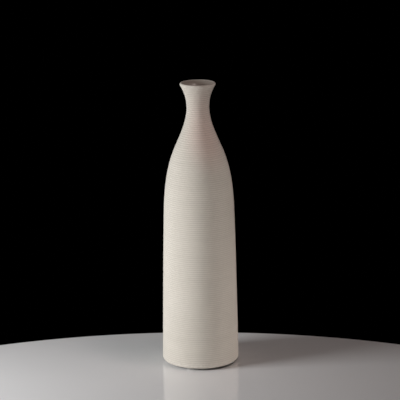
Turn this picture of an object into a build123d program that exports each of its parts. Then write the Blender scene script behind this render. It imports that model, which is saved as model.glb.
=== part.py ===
from build123d import *
import math
import os
from collections import namedtuple

# A bottle vase of turned stoneware: a ringed body, glazed inside, that stands on four clear stick-on feet.
# The origin is on the vase's axis, on the surface that it stands on. +Z is up and -Y is the front.
# Lengths are in millimetres and angles in degrees.

# Outside of the body, measured at the bottom of the grooves between the rings
overall_height = 300.0
mouth_diameter = 37.0       # over the lip
throat_diameter = 23.0      # at the narrowest place of the neck
slope_diameter = 48.6       # at the steepest place, between neck and shoulder
shoulder_diameter = 73.9    # where the straight body ends
base_diameter = 80.3        # just above the rounded foot edge
flare_height = 24.8         # from the throat up to the middle of the lip
neck_height = 41.6          # from the steepest place up to the throat
slope_height = 76.7         # from the end of the straight body up to the steepest place
flare_angle = 32.0          # of the wall at the lip, from the vertical
slope_angle = 23.2          # of the wall at the steepest place, from the vertical
shoulder_angle = 1.6        # of the wall where the straight body ends, from the vertical
lip_thickness = 2.6
foot_rounding = 2.0

# Rings that the turning tool leaves all over the outside
ring_pitch = 2.1
ring_depth = 0.3

# Inside of the body
wall_thickness = 4.0        # square to the wall
floor_thickness = 6.0       # over the foot
floor_rounding = 8.0        # between floor and wall

# Hollow under the base, inside the foot that the stick-on feet are on
recess_depth = 1.5
recess_margin = 1.4         # from the stick-on feet to the hollow

# Glaze that makes the inside hold water
glaze_thickness = 0.3

# Clear stick-on feet
bumper_names = ("front", "right", "back", "left")
bumper_diameter = 8.0
bumper_height = 1.85
bumper_rounding = 1.2       # of the lower edge
bumper_inset = 0.7          # from the foot's rounded edge to the stick-on foot
bumper_turn = -20.0         # of the first foot, from the front towards the right
adhesive_thickness = 0.15
adhesive_inset = 0.2        # of the adhesive's edge from the edge of the stick-on foot

# Levels and sizes that follow from these
standoff = bumper_height + adhesive_thickness
lip_radius = lip_thickness / 2
lip_middle_level = overall_height - lip_radius
lip_middle_radius = mouth_diameter / 2 - lip_radius
throat_level = lip_middle_level - flare_height
slope_level = throat_level - neck_height
shoulder_level = slope_level - slope_height
foot_level = standoff + foot_rounding
floor_level = standoff + floor_thickness
body_slope = (shoulder_diameter - base_diameter) / 2 / (shoulder_level - foot_level)
body_lean = math.atan(body_slope)
flare_lean = math.radians(flare_angle)

# A place on a wall surface: its level, its radius there, and how fast the radius grows with the level
Station = namedtuple("Station", "level radius slope")

# A wall surface from its flat bottom to the lip: the middle of its bottom corner, and the stations above that
Surface = namedtuple("Surface", "corner_level corner_radius corner stations")


def place(radius, level):
    """A point of a half outline, to the right of the axis."""
    return Vector(radius, 0, level)


def inset_station(level, diameter, slope, inset):
    """A station that lies an inset below the outside, measured square to the wall."""
    return Station(level, diameter / 2 - inset * math.hypot(1, slope), slope)


def wall_surface(inset, lip_inset, bottom_level, corner):
    """The wall surface that lies an inset below the outside, over a bottom that a rounded corner joins."""
    corner_level = bottom_level + corner
    straight_radius = base_diameter / 2 + body_slope * (corner_level - foot_level)
    corner_radius = straight_radius - (inset + corner) / math.cos(body_lean)
    lip_reach = lip_radius - lip_inset
    stations = [
        Station(
            corner_level - corner * math.sin(body_lean),
            corner_radius + corner * math.cos(body_lean),
            body_slope,
        ),
        inset_station(shoulder_level, shoulder_diameter, -math.tan(math.radians(shoulder_angle)), inset),
        inset_station(slope_level, slope_diameter, -math.tan(math.radians(slope_angle)), inset),
        inset_station(throat_level, throat_diameter, 0, inset),
        Station(
            lip_middle_level - lip_reach * math.sin(flare_lean),
            lip_middle_radius + lip_reach * math.cos(flare_lean),
            math.tan(flare_lean),
        ),
    ]
    return Surface(corner_level, corner_radius, corner, stations)


def radius_at(stations, level):
    """The radius at a level, on the cubic that joins the stations below and above it."""
    spans = list(zip(stations, stations[1:]))
    low, high = next((span for span in spans if level <= span[1].level), spans[-1])
    rise = high.level - low.level
    up = (level - low.level) / rise
    down = 1 - up
    near_low = low.radius * (1 + 2 * up) + low.slope * rise * up
    near_high = high.radius * (1 + 2 * down) - high.slope * rise * down
    return near_low * down**2 + near_high * up**2


def smooth_wall(stations):
    """The wall's outline from the bottom up, one cubic between each two stations."""
    curves = []
    for low, high in zip(stations, stations[1:]):
        third = (high.level - low.level) / 3
        leave = place(low.radius + low.slope * third, low.level + third)
        arrive = place(high.radius - high.slope * third, high.level - third)
        curves.append(Bezier(place(low.radius, low.level), leave, arrive, place(high.radius, high.level)))
    return curves


def ringed_wall(stations):
    """The wall's outline from the bottom up, one outward arc for each turned ring."""
    bottom = stations[0].level
    height = stations[-1].level - bottom
    ring_count = max(1, round(height / ring_pitch))
    ring_height = height / ring_count
    levels = [bottom + number * ring_height for number in range(ring_count + 1)]
    grooves = [place(radius_at(stations, level), level) for level in levels]
    arcs = []
    for level, low, high in zip(levels, grooves, grooves[1:]):
        crest_level = level + ring_height / 2
        crest = place(radius_at(stations, crest_level) + ring_depth, crest_level)
        arcs.append(ThreePointArc(low, crest, high))
    return arcs


def bottom_corner(surface):
    """The arc from the flat bottom to the wall."""
    first = surface.stations[0]
    middle_angle = (body_lean + math.radians(90)) / 2
    middle = place(
        surface.corner_radius + surface.corner * math.cos(middle_angle),
        surface.corner_level - surface.corner * math.sin(middle_angle),
    )
    bottom = place(surface.corner_radius, surface.corner_level - surface.corner)
    return ThreePointArc(bottom, middle, place(first.radius, first.level))


def lip_arc(outer, inner):
    """The half round of the lip, from the outside over the top to the inside."""
    top = place(
        lip_middle_radius + lip_radius * math.sin(flare_lean),
        lip_middle_level + lip_radius * math.cos(flare_lean),
    )
    outer_end, inner_end = outer.stations[-1], inner.stations[-1]
    return ThreePointArc(
        place(outer_end.radius, outer_end.level), top, place(inner_end.radius, inner_end.level)
    )


def turned(outline):
    """The solid that a closed half outline makes when it turns round the axis."""
    return revolve(make_face(outline), axis=Axis.Z)


outside = wall_surface(0, 0, standoff, foot_rounding)
inside = wall_surface(wall_thickness, lip_thickness, floor_level, floor_rounding)
glazed = wall_surface(
    wall_thickness + glaze_thickness,
    lip_thickness + glaze_thickness,
    floor_level + glaze_thickness,
    floor_rounding - glaze_thickness,
)

# The foot's flat runs from the hollow under the base to the rounded edge, with room for the stick-on feet
foot_flat_radius = outside.corner_radius
bumper_circle_radius = foot_flat_radius - bumper_inset - bumper_diameter / 2
recess_radius = bumper_circle_radius - bumper_diameter / 2 - recess_margin


def vase_body():
    """The fired body: ringed outside, smooth inside, hollowed a little under the base."""
    base = Polyline(
        place(0, floor_level),
        place(0, standoff + recess_depth),
        place(recess_radius - recess_depth, standoff + recess_depth),
        place(recess_radius, standoff),
        place(foot_flat_radius, standoff),
    )
    floor = Line(place(inside.corner_radius, floor_level), place(0, floor_level))
    return turned([
        *base.edges(),
        bottom_corner(outside),
        *ringed_wall(outside.stations),
        lip_arc(outside, inside),
        *smooth_wall(inside.stations),
        bottom_corner(inside),
        floor,
    ])


def inner_glaze():
    """The coat of glaze over the whole inside, up to the lip."""
    coat_level = floor_level + glaze_thickness
    wall_end, coat_end = inside.stations[-1], glazed.stations[-1]
    return turned([
        Line(place(0, floor_level), place(inside.corner_radius, floor_level)),
        bottom_corner(inside),
        *smooth_wall(inside.stations),
        Line(place(wall_end.radius, wall_end.level), place(coat_end.radius, coat_end.level)),
        *smooth_wall(glazed.stations),
        bottom_corner(glazed),
        Line(place(glazed.corner_radius, coat_level), place(0, coat_level)),
        Line(place(0, coat_level), place(0, floor_level)),
    ])


def bumper():
    """One clear foot, with its lower edge rounded, on the axis."""
    radius = bumper_diameter / 2
    flat_radius = radius - bumper_rounding
    diagonal = bumper_rounding * math.sqrt(1 / 2)
    round_middle = place(flat_radius + diagonal, bumper_rounding - diagonal)
    sides = Polyline(
        place(radius, bumper_rounding), place(radius, bumper_height), place(0, bumper_height), place(0, 0),
        place(flat_radius, 0),
    )
    edge = ThreePointArc(place(flat_radius, 0), round_middle, place(radius, bumper_rounding))
    return turned([*sides.edges(), edge])


def adhesive_disc():
    """The adhesive between one clear foot and the base, on the axis."""
    radius = bumper_diameter / 2 - adhesive_inset
    bottom_to_top = (Align.CENTER, Align.CENTER, Align.MIN)
    return Pos(0, 0, bumper_height) * Cylinder(radius, adhesive_thickness, align=bottom_to_top)


pieces = {"vase_body": vase_body(), "inner_glaze": inner_glaze()}
for number, name in enumerate(bumper_names):
    turn = bumper_turn + number * 360 / len(bumper_names)
    seat = Rot(0, 0, turn) * Pos(0, -bumper_circle_radius, 0)
    pieces[f"bumper_{name}"] = seat * bumper()
    pieces[f"adhesive_disc_{name}"] = seat * adhesive_disc()

os.makedirs("parts", exist_ok=True)
for name, piece in pieces.items():
    piece.label = name
    export_step(piece, f"parts/{name}.step")
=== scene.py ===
# %% [markdown]
# # A bottle vase in turned stoneware
# The vase is one piece of fired clay with fine rings round it, a glazed inside and four clear stick-on
# feet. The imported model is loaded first, as a fixed frame. Its solids give the places and the main sizes,
# so that each piece modelled here lies where the real one does, with no fitting. Lengths are in metres.

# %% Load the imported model
import math
import random
from collections import namedtuple

import bpy
from mathutils import Euler, Matrix, Vector


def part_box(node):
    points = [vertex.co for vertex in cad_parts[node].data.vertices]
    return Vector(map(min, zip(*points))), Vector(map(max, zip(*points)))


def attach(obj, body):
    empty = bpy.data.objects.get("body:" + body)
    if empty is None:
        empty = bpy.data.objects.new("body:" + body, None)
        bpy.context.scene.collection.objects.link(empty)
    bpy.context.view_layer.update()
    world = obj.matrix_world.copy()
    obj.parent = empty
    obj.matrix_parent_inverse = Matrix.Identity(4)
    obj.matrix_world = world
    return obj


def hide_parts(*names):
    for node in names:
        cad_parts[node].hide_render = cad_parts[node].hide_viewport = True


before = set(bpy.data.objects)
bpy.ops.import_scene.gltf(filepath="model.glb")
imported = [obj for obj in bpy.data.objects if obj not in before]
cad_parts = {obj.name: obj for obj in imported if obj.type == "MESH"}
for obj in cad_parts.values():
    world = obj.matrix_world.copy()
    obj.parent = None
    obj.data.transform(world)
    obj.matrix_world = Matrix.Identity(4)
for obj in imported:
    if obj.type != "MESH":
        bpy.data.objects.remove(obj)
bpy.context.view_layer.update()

body_low, body_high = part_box("vase_body")
print("solids:", sorted(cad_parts))
print("vase body from", tuple(body_low), "to", tuple(body_high))

# %% [markdown]
# ## The outline of the wall
# A pot that is made on a wheel or turned in a mould is one outline, swung round an axis. The outline
# could be traced as a long row of points, but a potter's line needs only five places: the foot, the
# shoulder, the steepest place of the slope, the throat and the lip. Each has a level, a radius and a lean.

# %% Sizes of the wall, at the bottom of the grooves between its rings
ring_depth = 0.0003
foot_rounding = 0.002
lip_rounding = 0.0013
mouth_radius = 0.0185
throat_radius = 0.0115
slope_radius = 0.0243
shoulder_radius = 0.03695
foot_radius = body_high.x - ring_depth
flare_height = 0.0248
neck_height = 0.0416
slope_height = 0.0767
flare_lean = math.radians(32)
slope_lean = math.radians(23.2)
shoulder_lean = math.radians(1.6)

lip_middle_radius = mouth_radius - lip_rounding
lip_middle_level = body_high.z - lip_rounding
throat_level = lip_middle_level - flare_height
slope_level = throat_level - neck_height
shoulder_level = slope_level - slope_height
foot_level = body_low.z + foot_rounding
body_slope = (shoulder_radius - foot_radius) / (shoulder_level - foot_level)
print(f"throat at {1000 * throat_level:.1f} mm, shoulder at {1000 * shoulder_level:.1f} mm")

# %% [markdown]
# ## Five stations
# A cubic joins each place to the next, and meets it at its lean, so the line never kinks. A drawn Bezier
# curve could do the same, but the radius at any level is asked for again and again below, and a function
# gives it at once. The same five stations, set deeper into the clay, give the inside and the glaze.

# %% Stations and the cubic between them
Station = namedtuple("Station", "level radius slope")


def wall_stations(inset, lip_inset):
    """The five stations of a surface that lies an inset below the grooves, square to the wall."""
    places = [
        Station(foot_level, foot_radius, body_slope),
        Station(shoulder_level, shoulder_radius, -math.tan(shoulder_lean)),
        Station(slope_level, slope_radius, -math.tan(slope_lean)),
        Station(throat_level, throat_radius, 0),
    ]
    reach = lip_rounding - lip_inset
    lip_end = Station(
        lip_middle_level - reach * math.sin(flare_lean),
        lip_middle_radius + reach * math.cos(flare_lean),
        math.tan(flare_lean),
    )
    sunk = [Station(p.level, p.radius - inset * math.hypot(1, p.slope), p.slope) for p in places]
    return sunk + [lip_end]


def radius_at(stations, level):
    """The radius on the cubic between the stations below and above a level."""
    spans = list(zip(stations, stations[1:]))
    low, high = next((span for span in spans if level <= span[1].level), spans[-1])
    rise = high.level - low.level
    up = (level - low.level) / rise
    down = 1 - up
    near_low = low.radius * (1 + 2 * up) + low.slope * rise * up
    near_high = high.radius * (1 + 2 * down) - high.slope * rise * down
    return near_low * down**2 + near_high * up**2


outside = wall_stations(0, 0)
for level, radius, slope in outside:
    print(f"station at {1000 * level:.1f} mm: radius {1000 * radius:.2f} mm, slope {slope:.3f}")

# %% [markdown]
# ## The ringed outside
# The rings are what the turning tool leaves as it travels up the pot. A bump map could draw them, but
# they catch the light at the edge of the pot too, so they are real shape. Each ring is a low rounded bead
# with a narrow groove on each side. A hand holds the tool, so no two rings are quite as wide or as high.

# %% Levels of the grooves
ring_pitch = 0.0021
ring_unevenness = 0.07
hand_seed = 11
turning_hand = random.Random(hand_seed)


def ring_levels(bottom, top):
    """The levels of the grooves, a little unevenly spaced."""
    count = round((top - bottom) / ring_pitch)
    widths = [1 + turning_hand.uniform(-ring_unevenness, ring_unevenness) for _ in range(count)]
    scale = (top - bottom) / sum(widths)
    levels = [bottom]
    for width in widths:
        levels.append(levels[-1] + width * scale)
    print(f"{count} rings, {1000 * (top - bottom) / count:.2f} mm apart")
    return levels


groove_levels = ring_levels(outside[0].level, outside[-1].level)

# %% Draw the outside from the foot to the lip
bead_shares = (0.0, 0.12, 0.32, 0.68, 0.88)
bead_power = 2.5


def place(radius, level):
    """A point of the half outline, to the right of the axis."""
    return Vector((radius, 0, level))


def beads(stations, levels):
    """The outline over all rings, from the foot to the lip."""
    points = []
    for low, high in zip(levels, levels[1:]):
        height = ring_depth * (1 + turning_hand.uniform(-2 * ring_unevenness, 2 * ring_unevenness))
        for share in bead_shares:
            level = low + share * (high - low)
            rise = (1 - abs(2 * share - 1) ** bead_power) ** (1 / bead_power)
            points.append(place(radius_at(stations, level) + height * rise, level))
    return points


ringed_side = beads(outside, groove_levels)
print(len(ringed_side), "points on the rings")

# %% [markdown]
# ## The whole outline of the clay
# The rest of the line is smooth: the hollow under the base and the rounded foot edge before the rings,
# then the half round of the lip, the inside of the wall, and the floor. Both ends lie on the axis, so the
# turned shape closes there. Bevels could round the foot and the lip later, but on a line they are only
# arcs.

# %% Round the foot edge and the lip
corner_steps = 6
lip_steps = 10


def arc(middle_radius, middle_level, radius, start, end, steps):
    """Points on an arc, between two angles in degrees that count from the horizontal."""
    angles = [math.radians(start + (end - start) * step / steps) for step in range(steps + 1)]
    return [
        place(middle_radius + radius * math.cos(angle), middle_level + radius * math.sin(angle))
        for angle in angles
    ]


foot_edge = foot_radius - foot_rounding
foot_arc = arc(foot_edge, foot_level, foot_rounding, -90, 0, corner_steps)[:-1]
lip_start = -math.degrees(flare_lean)
lip_arc = arc(lip_middle_radius, lip_middle_level, lip_rounding, lip_start, lip_start + 180, lip_steps)
print(len(foot_arc), "points round the foot edge,", len(lip_arc), "round the lip")

# %% Follow the inside down to its floor
wall_thickness = 0.004
clay_floor_thickness = 0.006
floor_rounding = 0.008
inside_steps = 36


def smooth_side(stations, bottom, top, steps):
    """The outline of a smooth wall, from the bottom up."""
    levels = [bottom + (top - bottom) * step / steps for step in range(steps + 1)]
    return [place(radius_at(stations, level), level) for level in levels]


def rounded_floor(stations, level, rounding):
    """The outline from the axis over a floor to the wall, and the level where the wall begins."""
    wall_start = level + rounding
    corner_radius = radius_at(stations, wall_start) - rounding
    corner = arc(corner_radius, wall_start, rounding, -90, 0, corner_steps)
    return [place(0, level)] + corner, wall_start


inside = wall_stations(wall_thickness, 2 * lip_rounding)
floor_line, wall_start = rounded_floor(inside, body_low.z + clay_floor_thickness, floor_rounding)
inner_side = smooth_side(inside, wall_start, inside[-1].level, inside_steps)[1:-1]
print(len(inner_side), "points on the inside,", len(floor_line), "on its floor")

# %% Hollow the base and close the outline
recess_depth = 0.0015
recess_margin = 0.0014  # From the stick-on feet to the hollow
first_foot_low, first_foot_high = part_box("bumper_front")
foot_middle = (first_foot_low + first_foot_high) / 2
foot_reach = (first_foot_high.x - first_foot_low.x) / 2
recess_radius = math.hypot(foot_middle.x, foot_middle.y) - foot_reach - recess_margin
base_line = [
    place(0, body_low.z + recess_depth),
    place(recess_radius - recess_depth, body_low.z + recess_depth),
    place(recess_radius, body_low.z),
]
clay_outline = base_line + foot_arc + ringed_side + lip_arc + inner_side[::-1] + floor_line[::-1]
print(len(clay_outline), "points in the outline of the clay")

# %% [markdown]
# ## Turn the clay
# In Blender a turned shape is an outline and the spin tool. A Screw modifier would turn it too, but spin
# leaves a plain mesh at once. The outline starts as a plane that is merged to a single vertex, and
# extruding that vertex from place to place draws the line.

# %% Draw with one vertex


def draw(name, points):
    """A chain of edges through the points, extruded from one vertex. It is left in edit mode."""
    bpy.ops.object.select_all(action="DESELECT")
    bpy.ops.mesh.primitive_plane_add(size=ring_pitch, location=(0, 0, 0))
    piece = bpy.context.object
    piece.name = name
    piece.data.name = name
    bpy.ops.object.mode_set(mode="EDIT")
    bpy.ops.mesh.select_all(action="SELECT")
    bpy.ops.mesh.merge(type="CENTER")
    bpy.ops.transform.translate(value=points[0])
    for start, end in zip(points, points[1:]):
        bpy.ops.mesh.extrude_region_move(TRANSFORM_OT_translate={"value": end - start})
    print(f"{name}: a line with {len(points)} points")
    return piece


vase = draw("stoneware_body", clay_outline)

# %% [markdown]
# ## Spin the line
# Spin swings the line once round the axis. Its last copy lies on the first, and every copy meets on the
# axis, so doubles are merged before the normals are made to point outwards.

# %% Spin
round_steps = 112
merge_distance = 1e-6


def box_of(piece):
    """A piece's lowest and highest corners, the first and the seventh that Blender lists."""
    corners = [Vector(corner) for corner in piece.bound_box]
    return corners[0], corners[6]


def describe(piece):
    """Prints a piece's faces and box."""
    low, high = box_of(piece)
    size = ", ".join(f"{1000 * side:.2f}" for side in high - low)
    print(f"{piece.name}: {len(piece.data.polygons)} faces, {size} mm, from {1000 * low.z:.2f} mm up")


def spin_round():
    """Swings the line that is drawn in edit mode once round the axis, and closes the shape."""
    bpy.ops.mesh.select_all(action="SELECT")
    bpy.ops.mesh.spin(steps=round_steps, angle=2 * math.pi, center=(0, 0, 0), axis=(0, 0, 1))
    bpy.ops.mesh.select_all(action="SELECT")
    bpy.ops.mesh.remove_doubles(threshold=merge_distance)
    bpy.ops.mesh.normals_make_consistent(inside=False)
    bpy.ops.object.mode_set(mode="OBJECT")


spin_round()
bpy.ops.object.shade_smooth()
describe(vase)

# %% [markdown]
# ## Remember the grooves and the edges
# The grooves get painted shade: their clay is coloured darker, where shade falls between the beads. The lip
# and the foot are rubbed by hands, stems and shelves. A material can't see what is a groove or an edge,
# so each vertex is given two numbers that the material reads. The first is 0 at the bottom of a groove
# and 1 on the crest of a bead, or wherever there are no rings. The second is 1 on a rubbed edge and falls
# to 0 near it. Painting them by hand would work too, but the outline already knows where they are.

# %% Store how far each vertex stands out of its groove
rise_name = "ring_rise"
deepest_rise = -0.5  # A vertex further in than this, in ring depths, isn't on the outside
groove_rise = 0.5  # A vertex lower than this, in ring depths, counts as in a groove
rises = vase.data.attributes.new(rise_name, "FLOAT", "POINT")
for number, vertex in enumerate(vase.data.vertices):
    level = vertex.co.z
    rise = (math.hypot(vertex.co.x, vertex.co.y) - radius_at(outside, level)) / ring_depth
    on_rings = outside[0].level <= level <= outside[-1].level and rise > deepest_rise
    rises.data[number].value = min(rise, 1) if on_rings else 1
groove_count = sum(1 for entry in rises.data if entry.value < groove_rise)
print(groove_count, "vertices lie in grooves")

# %% Store how much each vertex is rubbed
wear_name = "edge_wear"
wear_reach = 0.004
Edge = namedtuple("Edge", "radius level rounding")
rubbed_edges = [
    Edge(lip_middle_radius, lip_middle_level, lip_rounding),
    Edge(foot_edge, foot_level, foot_rounding),
]
wears = vase.data.attributes.new(wear_name, "FLOAT", "POINT")
for number, vertex in enumerate(vase.data.vertices):
    spot = (math.hypot(vertex.co.x, vertex.co.y), vertex.co.z)
    away = min(abs(math.dist(spot, (edge.radius, edge.level)) - edge.rounding) for edge in rubbed_edges)
    wears.data[number].value = max(0, 1 - away / wear_reach)
worn_count = sum(1 for entry in wears.data if entry.value > 0)
print(worn_count, "vertices are rubbed")

# %% [markdown]
# ## The glaze inside
# Fired clay drinks water, so a vase is glazed inside. The coat could be a second colour on the clay, but
# on the real vase it is a layer with an edge below the lip. It follows the clay and is only 0.3 mm thick.
# Its face is turned like the clay, and a Solidify modifier gives it its thickness, towards the clay. A
# hair of room is left behind it, so that the two surfaces don't flicker.

# %% Turn the glaze and give it its thickness
glaze_low, glaze_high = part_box("inner_glaze")
glaze_thickness = 0.0003
glaze_back_gap = 0.00002
glaze_steps = 48
glazed = wall_stations(wall_thickness + glaze_thickness, 2 * lip_rounding + glaze_thickness)
glaze_floor, glaze_start = rounded_floor(
    glazed, glaze_low.z + glaze_thickness, floor_rounding - glaze_thickness
)
glaze_side = smooth_side(glazed, glaze_start, glaze_high.z, glaze_steps)[1:]
glaze = draw("lining_glaze", glaze_floor + glaze_side)
spin_round()
bpy.ops.object.modifier_add(type="SOLIDIFY")
glaze.modifiers["Solidify"].thickness = glaze_thickness - glaze_back_gap
glaze.modifiers["Solidify"].offset = -1
bpy.ops.object.modifier_apply(modifier="Solidify")
bpy.ops.object.shade_smooth()
describe(glaze)

# %% [markdown]
# ## The stick-on feet
# Small clear bumpers keep the hard foot off the table. One is modelled from a cylinder: the lower edge is
# rounded with a bevel, and the upper edge, where it was cut from its sheet, keeps only a tiny one. It
# could be turned like the vase, but the bevel tool is quicker on so plain a shape. Its thin disc of
# adhesive is a second, smaller cylinder.

# %% Helpers for round solids
disc_sides = 40
cut_edge = 0.00008
crease_angle = math.radians(35)


def select_rim(piece, level):
    """Selects the edges of a piece that lie flat at a level."""
    bpy.ops.mesh.select_all(action="DESELECT")
    bpy.ops.object.mode_set(mode="OBJECT")
    for edge in piece.data.edges:
        ends = [piece.data.vertices[number].co.z + piece.location.z for number in edge.vertices]
        edge.select = all(abs(end - level) < merge_distance for end in ends)
    bpy.ops.object.mode_set(mode="EDIT")


def disc(name, node, rounding, segments):
    """A round solid in the place of a CAD node, with its lower edge rounded."""
    low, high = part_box(node)
    bpy.ops.object.select_all(action="DESELECT")
    bpy.ops.mesh.primitive_cylinder_add(
        vertices=disc_sides, radius=(high.x - low.x) / 2, depth=high.z - low.z, location=(low + high) / 2
    )
    piece = bpy.context.object
    piece.name = name
    piece.data.name = name
    bpy.ops.object.mode_set(mode="EDIT")
    bpy.ops.mesh.select_mode(type="EDGE")
    select_rim(piece, low.z)
    bpy.ops.mesh.bevel(offset=rounding, segments=segments, affect="EDGES")
    select_rim(piece, high.z)
    bpy.ops.mesh.bevel(offset=cut_edge / 2, segments=1, affect="EDGES")
    bpy.ops.object.mode_set(mode="OBJECT")
    bpy.ops.object.transform_apply(location=True, rotation=True, scale=True)
    bpy.ops.object.shade_smooth_by_angle(angle=crease_angle)
    describe(piece)
    return piece


# %% Model one foot and its adhesive
first_foot = "front"
bumper_rounding = 0.0012
bumper_steps = 6
bumpers = {first_foot: disc("clear_bumper_front", "bumper_front", bumper_rounding, bumper_steps)}
adhesives = {first_foot: disc("adhesive_front", "adhesive_disc_front", cut_edge / 2, 1)}

# %% [markdown]
# ## The other three feet
# What repeats is modelled once and copied, so that the four feet are alike. An array or linked copies
# would share one mesh. Here each copy gets its own, because each foot is a separate piece.

# %% Copy them to the other three places
feet = [name.removeprefix("bumper_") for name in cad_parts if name.startswith("bumper_")]


def copy_to(piece, name, node):
    """A copy of a piece, with its own mesh, turned round the vase to the place of a CAD node."""
    old = sum(box_of(piece), Vector()) / 2
    new = sum(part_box(node), Vector()) / 2
    bpy.ops.object.select_all(action="DESELECT")
    piece.select_set(True)
    bpy.context.view_layer.objects.active = piece
    bpy.ops.object.duplicate(linked=False)
    copy = bpy.context.object
    copy.name = name
    copy.data.name = name
    copy.rotation_euler.z = math.atan2(new.y, new.x) - math.atan2(old.y, old.x)
    bpy.ops.object.transform_apply(location=True, rotation=True, scale=True)
    describe(copy)
    return copy


for foot in feet:
    if foot != first_foot:
        bumpers[foot] = copy_to(bumpers[first_foot], f"clear_bumper_{foot}", f"bumper_{foot}")
        adhesives[foot] = copy_to(adhesives[first_foot], f"adhesive_{foot}", f"adhesive_disc_{foot}")

# %% [markdown]
# ## Materials
# A material is a small tree of nodes. One function adds a node, sets it up and links it, so that each
# material below reads like a list of what makes up the real surface. Colours are written as sRGB hex
# values, as a colour picker shows them, and are turned to the linear values that Blender works in. Image
# textures could be wrapped round the vase, but a pattern made by nodes has no seam and stays sharp.

# %% Helpers for materials
# Sockets of a Mix node share their names between its modes, so the ones for colours go by number
mix_share, mix_first, mix_second, mix_result = 0, 6, 7, 2


def colour(hex_value):
    """A linear colour from an sRGB hex value."""
    shares = [int(hex_value[start:start + 2], 16) / 255 for start in (1, 3, 5)]
    return [s / 12.92 if s <= 0.04045 else ((s + 0.055) / 1.055) ** 2.4 for s in shares] + [1]


def add_node(tree, kind, settings=None, inputs=None):
    """Adds a node with its settings. An input is a value, or another node's output to link."""
    node = tree.nodes.new(kind)
    for name, value in (settings or {}).items():
        setattr(node, name, value)
    for name, value in (inputs or {}).items():
        if isinstance(value, bpy.types.NodeSocket):
            tree.links.new(value, node.inputs[name])
        else:
            node.inputs[name].default_value = value
    return node


def new_material(name):
    """A material with an empty tree, and the tree."""
    material = bpy.data.materials.new(name)
    material.use_nodes = True
    material.node_tree.nodes.clear()
    return material, material.node_tree


def per_metre(size_mm):
    """The scale that makes a texture's grain a real size."""
    return 1000 / size_mm


mid_grey = "#808080"
print(mid_grey, "is", [round(share, 3) for share in colour(mid_grey)], "in linear values")

# %% [markdown]
# ### Stoneware: the clay's colour
# Unglazed stoneware, fired to a pale cream and wiped smooth. It is matte all over, and the eye sees it as
# soft and dry. Its cream is a little cloudy. A pink patch is painted on the front of the neck, towards its
# shaded side: partly a faint flashing from the kiln's flame, partly painted warm light. A painted mask
# could place the patch, but an egg-shaped patch needs no painting: a Mapping node centres and stretches the
# coordinates, and the distance from the middle fades the tint.

# %% Clay colour
cloud_width = 38  # mm
# The pink patch sits at the front right of the neck: painted warm light, with a faint kiln flashing.
tint_patch_drop = 0.016  # From the throat down to the middle of the blush
tint_patch_middle = (0.012, -0.022, throat_level - tint_patch_drop)
tint_patch_reach = (0.034, 0.034, 0.062)
stoneware, tree = new_material("unglazed_stoneware")
where = add_node(tree, "ShaderNodeTexCoord").outputs["Object"]
cloud = add_node(
    tree, "ShaderNodeTexNoise", {}, {"Vector": where, "Scale": per_metre(cloud_width), "Detail": 3}
)
cream = add_node(
    tree, "ShaderNodeMix", {"data_type": "RGBA"},
    {mix_share: cloud.outputs[0], mix_first: colour("#d5d0c6"), mix_second: colour("#dfdad1")},
)
egg = add_node(
    tree, "ShaderNodeMapping", {"vector_type": "TEXTURE"},
    {"Vector": where, "Location": tint_patch_middle, "Scale": tint_patch_reach},
)
from_tint_patch = add_node(tree, "ShaderNodeVectorMath", {"operation": "LENGTH"}, {0: egg.outputs[0]})
blush_and_warm_light = add_node(
    tree, "ShaderNodeMapRange", {"interpolation_type": "SMOOTHSTEP"},
    {"Value": from_tint_patch.outputs["Value"], "From Min": 0.15, "From Max": 1, "To Min": 0.9, "To Max": 0},
)
# Mixes in the pink patch: painted warm light on the shaded front of the neck, with a faint kiln flashing.
clay = add_node(
    tree, "ShaderNodeMix", {"data_type": "RGBA"},
    {mix_share: blush_and_warm_light.outputs[0], mix_first: cream.outputs[mix_result], mix_second: colour("#e5d0c7")},
)
print("clay colour:", len(tree.nodes), "nodes")

# %% [markdown]
# ### Stoneware: grain and painted groove shade
# Sand in the clay makes it look grainy, not like plastic. The grain of the real clay is about 0.1 mm and
# too fine to show, so it is drawn at 0.5 mm. It only scales the colour's brightness. The grooves get
# painted shade, a darker and greyer colour. Ambient occlusion could find them, but the stored attribute
# knows them exactly.

# %% Grain and painted groove shade
grain_width = 0.5  # mm, coarser than the real 0.1 mm so that it shows
grain = add_node(
    tree, "ShaderNodeTexNoise", {}, {"Vector": where, "Scale": per_metre(grain_width), "Detail": 4}
)
grain_tone = add_node(
    tree, "ShaderNodeMapRange", {},
    {"Value": grain.outputs[0], "From Min": 0.3, "From Max": 0.7, "To Min": 0.94, "To Max": 1.04},
)
grained = add_node(
    tree, "ShaderNodeVectorMath", {"operation": "SCALE"},
    {0: clay.outputs[mix_result], "Scale": grain_tone.outputs[0]},
)
rise_here = add_node(tree, "ShaderNodeAttribute", {"attribute_name": rise_name}).outputs["Fac"]
# Painted shade: the grooves are darkened and greyed towards #a0998e.
painted_groove_shade = add_node(
    tree, "ShaderNodeMapRange", {},
    {"Value": rise_here, "From Min": 0, "From Max": 0.9, "To Min": 0.45, "To Max": 0},
)
with_groove_shade = add_node(
    tree, "ShaderNodeMix", {"data_type": "RGBA"},
    {mix_share: painted_groove_shade.outputs[0], mix_first: grained.outputs[0], mix_second: colour("#a0998e")},
)
print("with grain and grooves:", len(tree.nodes), "nodes")

# %% [markdown]
# ### Stoneware: iron specks
# A few grains of iron in the clay burn to small brown dots. They could be painted one by one, but a
# Voronoi texture scatters them. It has one point in each cell, and its distance output is small only near
# that point, so a low threshold leaves one dot in a cell.

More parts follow.
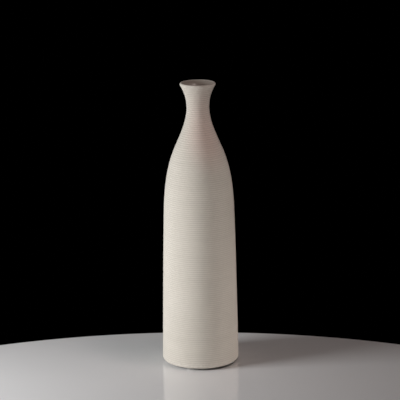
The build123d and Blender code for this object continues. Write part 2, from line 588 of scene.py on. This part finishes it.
# %% Iron specks
speck_spacing = 9  # mm
speck_cells = add_node(
    tree, "ShaderNodeTexVoronoi", {}, {"Vector": where, "Scale": per_metre(speck_spacing)}
).outputs["Distance"]
speck_tone = add_node(
    tree, "ShaderNodeMapRange", {},
    {"Value": speck_cells, "From Min": 0.018, "From Max": 0.035, "To Min": 0.55, "To Max": 0},
)
speckled = add_node(
    tree, "ShaderNodeMix", {"data_type": "RGBA"},
    {
        mix_share: speck_tone.outputs[0], mix_first: with_groove_shade.outputs[mix_result],
        mix_second: colour("#7d6a58"),
    },
)
print("with specks:", len(tree.nodes), "nodes")

# %% [markdown]
# ### Stoneware: rubbed edges
# The lip and the foot are rubbed smoother, and a little paler in patches. Pointiness could find the edges,
# but it finds every ring too, so the stored wear says where an edge is. A noise breaks it into scuffs, and
# both together lighten the colour. The wear alone lowers the roughness, so the rim has a trace of sheen.

# %% Rubbed edges
scuff_width = 3  # mm
rub_smoothing = -0.25
worn_here = add_node(tree, "ShaderNodeAttribute", {"attribute_name": wear_name}).outputs["Fac"]
scuffs = add_node(
    tree, "ShaderNodeTexNoise", {}, {"Vector": where, "Scale": per_metre(scuff_width), "Detail": 4}
)
scuff_tone = add_node(
    tree, "ShaderNodeMapRange", {},
    {"Value": scuffs.outputs[0], "From Min": 0.45, "From Max": 0.65, "To Min": 0, "To Max": 0.6},
)
scuffed = add_node(
    tree, "ShaderNodeMath", {"operation": "MULTIPLY"}, {0: worn_here, 1: scuff_tone.outputs[0]}
)
with_wear = add_node(
    tree, "ShaderNodeMix", {"data_type": "RGBA"},
    {
        mix_share: scuffed.outputs[0], mix_first: speckled.outputs[mix_result],
        mix_second: colour("#e6e1d9"),
    },
)
matte = add_node(
    tree, "ShaderNodeMapRange", {}, {"Value": grain.outputs[0], "To Min": 0.82, "To Max": 0.98}
)
rough_here = add_node(
    tree, "ShaderNodeMath", {"operation": "MULTIPLY_ADD"},
    {0: worn_here, 1: rub_smoothing, 2: matte.outputs[0]},
)
print("with wear:", len(tree.nodes), "nodes")

# %% [markdown]
# ### Stoneware: relief and shader
# The turning tool drags grains along and leaves fine lines that run round the pot. They are a noise,
# stretched sideways by a Mapping node, and together with the grain they drive a bump. Lines so shallow
# would need millions of faces as real shape. Fired clay has an IOR near 1.5, little gloss, and a dry,
# dusty look that Diffuse Roughness gives.

# %% Relief and shader
line_length, line_width = 17, 0.6  # mm
relief_depth = 0.00006
stretch = add_node(
    tree, "ShaderNodeMapping", {},
    {"Vector": where, "Scale": (per_metre(line_length), per_metre(line_length), per_metre(line_width))},
)
lines = add_node(tree, "ShaderNodeTexNoise", {}, {"Vector": stretch.outputs[0], "Scale": 1, "Detail": 2})
relief = add_node(
    tree, "ShaderNodeMath", {"operation": "ADD"}, {0: grain.outputs[0], 1: lines.outputs[0]}
)
bump = add_node(
    tree, "ShaderNodeBump", {}, {"Height": relief.outputs[0], "Strength": 0.6, "Distance": relief_depth}
)
surface = add_node(
    tree, "ShaderNodeBsdfPrincipled", {},
    {
        "Base Color": with_wear.outputs[mix_result], "Roughness": rough_here.outputs[0],
        "Normal": bump.outputs[0], "IOR": 1.5, "Specular IOR Level": 0.3, "Diffuse Roughness": 0.3,
    },
)
add_node(tree, "ShaderNodeOutputMaterial", {}, {"Surface": surface.outputs[0]})
print(stoneware.name, "has", len(tree.nodes), "nodes")

# %% [markdown]
# ### Lining glaze
# A thin semi-gloss glaze over the same clay. It lets the clay's cream through, so it looks a shade
# deeper, pools a little thicker here and there, and has the faint orange-peel surface of a sprayed or
# poured coat. Its colour is set darker than the clay: partly that deeper tone, partly painted shade for the
# dim inside of the mouth. Real glass over clay could be two layers of shader. One layer with a lower
# roughness gives the same look.

# %% Glaze material
pool_width, peel_width = 14, 1.8  # mm
peel_depth = 0.00005
lining, tree = new_material("semi_gloss_lining_glaze")
where = add_node(tree, "ShaderNodeTexCoord").outputs["Object"]
pools = add_node(
    tree, "ShaderNodeTexNoise", {}, {"Vector": where, "Scale": per_metre(pool_width), "Detail": 3}
)
# Partly painted shade: these colours are darker than the clay, for the dim inside of the mouth.
glaze_tone_and_painted_shade = add_node(
    tree, "ShaderNodeMix", {"data_type": "RGBA"},
    {mix_share: pools.outputs[0], mix_first: colour("#bdb4aa"), mix_second: colour("#cdc5bb")},
)
peel = add_node(
    tree, "ShaderNodeTexNoise", {}, {"Vector": where, "Scale": per_metre(peel_width), "Detail": 1}
)
bump = add_node(
    tree, "ShaderNodeBump", {}, {"Height": peel.outputs[0], "Strength": 0.3, "Distance": peel_depth}
)
rough_here = add_node(
    tree, "ShaderNodeMapRange", {}, {"Value": pools.outputs[0], "To Min": 0.22, "To Max": 0.38}
)
surface = add_node(
    tree, "ShaderNodeBsdfPrincipled", {},
    {
        "Base Color": glaze_tone_and_painted_shade.outputs[mix_result], "Roughness": rough_here.outputs[0],
        "Normal": bump.outputs[0], "IOR": 1.52,
    },
)
add_node(tree, "ShaderNodeOutputMaterial", {}, {"Surface": surface.outputs[0]})
print(lining.name, "has", len(tree.nodes), "nodes")

# %% [markdown]
# ### Clear polyurethane and its adhesive
# The feet are cast in clear soft polyurethane that has gone a little milky, so light goes through them,
# and they look pale against the shadow under the vase. Their skin picks up a faint haze. The adhesive is
# clear acrylic, hazier still. Glass would be the quick choice, but it is too clean, so the same shader is
# made partly clear and partly milky, and a fine noise varies its haze.

# %% Clear materials
haze_width = 1.5  # mm
haze_depth = 0.00003


def clear_material(name, tint, clearness, haze_low, haze_high, ior):
    """A clear, slightly milky plastic whose haze varies over a millimetre or two."""
    material, tree = new_material(name)
    where = add_node(tree, "ShaderNodeTexCoord").outputs["Object"]
    haze = add_node(
        tree, "ShaderNodeTexNoise", {}, {"Vector": where, "Scale": per_metre(haze_width), "Detail": 2}
    )
    rough_here = add_node(
        tree, "ShaderNodeMapRange", {}, {"Value": haze.outputs[0], "To Min": haze_low, "To Max": haze_high}
    )
    bump = add_node(
        tree, "ShaderNodeBump", {}, {"Height": haze.outputs[0], "Strength": 0.2, "Distance": haze_depth}
    )
    surface = add_node(
        tree, "ShaderNodeBsdfPrincipled", {},
        {
            "Base Color": colour(tint), "Roughness": rough_here.outputs[0], "Normal": bump.outputs[0],
            "IOR": ior, "Transmission Weight": clearness,
        },
    )
    add_node(tree, "ShaderNodeOutputMaterial", {}, {"Surface": surface.outputs[0]})
    print(name, "has", len(tree.nodes), "nodes")
    return material


polyurethane = clear_material(
    "clear_cast_polyurethane", tint="#f7f4ef", clearness=0.45, haze_low=0.12, haze_high=0.3, ior=1.5
)
acrylic = clear_material(
    "clear_acrylic_adhesive", tint="#f2f0e6", clearness=0.8, haze_low=0.3, haze_high=0.5, ior=1.47
)

# %% [markdown]
# ## Dress the vase
# Each piece gets its material, rides on the one body that the vase has, and stands for its solid. One
# function does all of this, so that no piece is left half dressed.

# %% Materials, bodies and solids


def dress(piece, material, node):
    """Gives a piece its material and its body, and hides the solid that it stands for."""
    piece.data.materials.clear()
    piece.data.materials.append(material)
    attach(piece, "root")
    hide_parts(node)


dress(vase, stoneware, "vase_body")
dress(glaze, lining, "inner_glaze")
for foot in feet:
    dress(bumpers[foot], polyurethane, f"bumper_{foot}")
    dress(adhesives[foot], acrylic, f"adhesive_disc_{foot}")

# %% [markdown]
# ## Floor
# The vase stands on a plain pale floor, a round top that ends a little way behind it, before a dark
# background. It starts as a flat cylinder, and a bevel rounds its upper rim. A plane would do for one
# view, but here the rim shows.

# %% Floor
stage_radius = 0.571
stage_far_edge = 0.092
stage_shift = -0.018
stage_thickness = 0.018
stage_sides = 256
rim_rounding = 0.003
rim_steps = 4
bpy.ops.object.select_all(action="DESELECT")
bpy.ops.mesh.primitive_cylinder_add(
    vertices=stage_sides, radius=stage_radius, depth=stage_thickness,
    location=(stage_shift, stage_far_edge - stage_radius, -stage_thickness / 2),
)
floor = bpy.context.object
floor.name = "floor"
bpy.ops.object.transform_apply(location=True)
bpy.ops.object.mode_set(mode="EDIT")
bpy.ops.mesh.select_mode(type="EDGE")
select_rim(floor, 0)
bpy.ops.mesh.bevel(offset=rim_rounding, segments=rim_steps, affect="EDGES")
bpy.ops.object.mode_set(mode="OBJECT")
bpy.ops.object.shade_smooth_by_angle(angle=crease_angle)
describe(floor)

# %% [markdown]
# ### Satin paint
# The floor has a pale satin paint, hardly mottled. A matte floor would be simpler, but the satin holds a
# soft mirror image of the vase, which sets it firmly down.

# %% Floor material
mottle_width = 90  # mm
painted, tree = new_material("pale_floor")
where = add_node(tree, "ShaderNodeTexCoord").outputs["Object"]
mottle = add_node(
    tree, "ShaderNodeTexNoise", {}, {"Vector": where, "Scale": per_metre(mottle_width), "Detail": 3}
)
pale = add_node(
    tree, "ShaderNodeMix", {"data_type": "RGBA"},
    {mix_share: mottle.outputs[0], mix_first: colour("#eaebec"), mix_second: colour("#f1f1f2")},
)
surface = add_node(
    tree, "ShaderNodeBsdfPrincipled", {},
    {"Base Color": pale.outputs[mix_result], "Roughness": 0.16, "Specular IOR Level": 0.5},
)
add_node(tree, "ShaderNodeOutputMaterial", {}, {"Surface": surface.outputs[0]})
floor.data.materials.append(painted)
print(painted.name, "has", len(tree.nodes), "nodes")

# %% [markdown]
# ## Light
# Five soft lights shape the vase. The key, on the left, models the round of the body. A low fill in front
# and a small light on the right open the shadow side, a high one lights the floor and the lip, and one
# behind keeps the back legible. One big sky could light it too, but its light comes from everywhere and
# flattens the rings. In a satin floor each lamp would show as a bright square, so the lamps are hidden
# from mirror rays. Only the high one isn't, because it gives the glaze its glint.

# %% Lights
scene = bpy.context.scene


def soft_light(name, azimuth, distance, height, side, spread, power, tint, aim, mirrored=False):
    """A square soft light with a honeycomb. Its azimuth counts from the camera, to the right."""
    heading = math.radians(azimuth)
    stand = Vector((math.sin(heading) * distance, -math.cos(heading) * distance, height))
    bpy.ops.object.light_add(type="AREA", location=stand)
    lamp = bpy.context.object
    lamp.name = name
    lamp.rotation_euler = (stand - Vector(aim)).to_track_quat("Z", "Y").to_euler()
    lamp.data.shape = "SQUARE"
    lamp.data.size = side
    lamp.data.spread = math.radians(spread)
    lamp.data.energy = power
    lamp.data.color = colour(tint)[:3]
    lamp.visible_glossy = mirrored
    print(f"{name} at", tuple(round(x, 2) for x in lamp.location))


soft_light(
    "key_light", azimuth=-72, distance=0.65, height=0.29, side=0.25, spread=110, power=1.6,
    tint="#ffffff", aim=(0, 0, 0.05),
)
soft_light(
    "fill_light", azimuth=10, distance=1.2, height=0.09, side=0.26, spread=60, power=0.36,
    tint="#fff8f3", aim=(0, 0, 0.08),
)
soft_light(
    "right_light", azimuth=90, distance=0.9, height=0.04, side=0.08, spread=40, power=0.085,
    tint="#ffefe8", aim=(0, 0, 0.05),
)
soft_light(
    "high_light", azimuth=60, distance=0.5, height=1.37, side=0.29, spread=80, power=0.53,
    tint="#ffebe5", aim=(0, -0.12, 0), mirrored=True,
)
soft_light(
    "rear_light", azimuth=186, distance=0.9, height=0.04, side=0.08, spread=60, power=0.15,
    tint="#ffffff", aim=(0, 0, 0.12),
)

# %% [markdown]
# ## World
# A dark studio still returns a little light from its walls. The world gives that light to the surfaces,
# but where the camera, a mirror image or clear plastic shows the background, it stays black. A black
# backdrop would need a second object. The Light Path node only tells these rays apart.

# %% World
world = bpy.data.worlds.new("dark_studio")
scene.world = world
world.use_nodes = True
tree = world.node_tree
tree.nodes.clear()
ray = add_node(tree, "ShaderNodeLightPath")
seen = add_node(
    tree, "ShaderNodeMath", {"operation": "MAXIMUM"},
    {0: ray.outputs["Is Camera Ray"], 1: ray.outputs["Is Glossy Ray"]},
)
seen_or_through = add_node(
    tree, "ShaderNodeMath", {"operation": "MAXIMUM"},
    {0: seen.outputs[0], 1: ray.outputs["Is Transmission Ray"]},
)
studio = add_node(
    tree, "ShaderNodeMix", {"data_type": "RGBA"},
    {mix_share: seen_or_through.outputs[0], mix_first: colour("#1c1c1c"), mix_second: colour("#000000")},
)
sky = add_node(tree, "ShaderNodeBackground", {}, {"Color": studio.outputs[mix_result], "Strength": 1.0})
add_node(tree, "ShaderNodeOutputWorld", {}, {"Surface": sky.outputs[0]})
print(world.name, "has", len(tree.nodes), "nodes")

# %% [markdown]
# ## Camera
# A camera with a long lens stands almost two metres away and looks down a little, so that the mouth shows
# as a narrow oval and the sides hardly run together. Its place was found by matching the outline of the
# vase, and its slight roll follows the vase's lean in the picture. A target to track would aim it too, but
# could not roll it.

# %% Camera
camera_distance = 1.894
camera_height = 0.655
camera_pitch = 14.22  # Degrees, like the roll and the turn
camera_roll = -0.66
camera_turn = -0.034
sensor_width = 36  # mm
focal_pixels, picture_pixels = 1865, 400
bpy.ops.object.camera_add(location=(0, -camera_distance, camera_height))
camera = bpy.context.object
camera.data.sensor_width = sensor_width
camera.data.lens = sensor_width * focal_pixels / picture_pixels
level_view = Euler((math.radians(90 - camera_pitch), 0, math.radians(camera_turn))).to_matrix()
camera.rotation_euler = (level_view @ Matrix.Rotation(math.radians(camera_roll), 3, "Z")).to_euler()
scene.camera = camera
scene.view_settings.view_transform = "Standard"
print(f"camera at {tuple(round(x, 3) for x in camera.location)}, lens {camera.data.lens:.0f} mm")
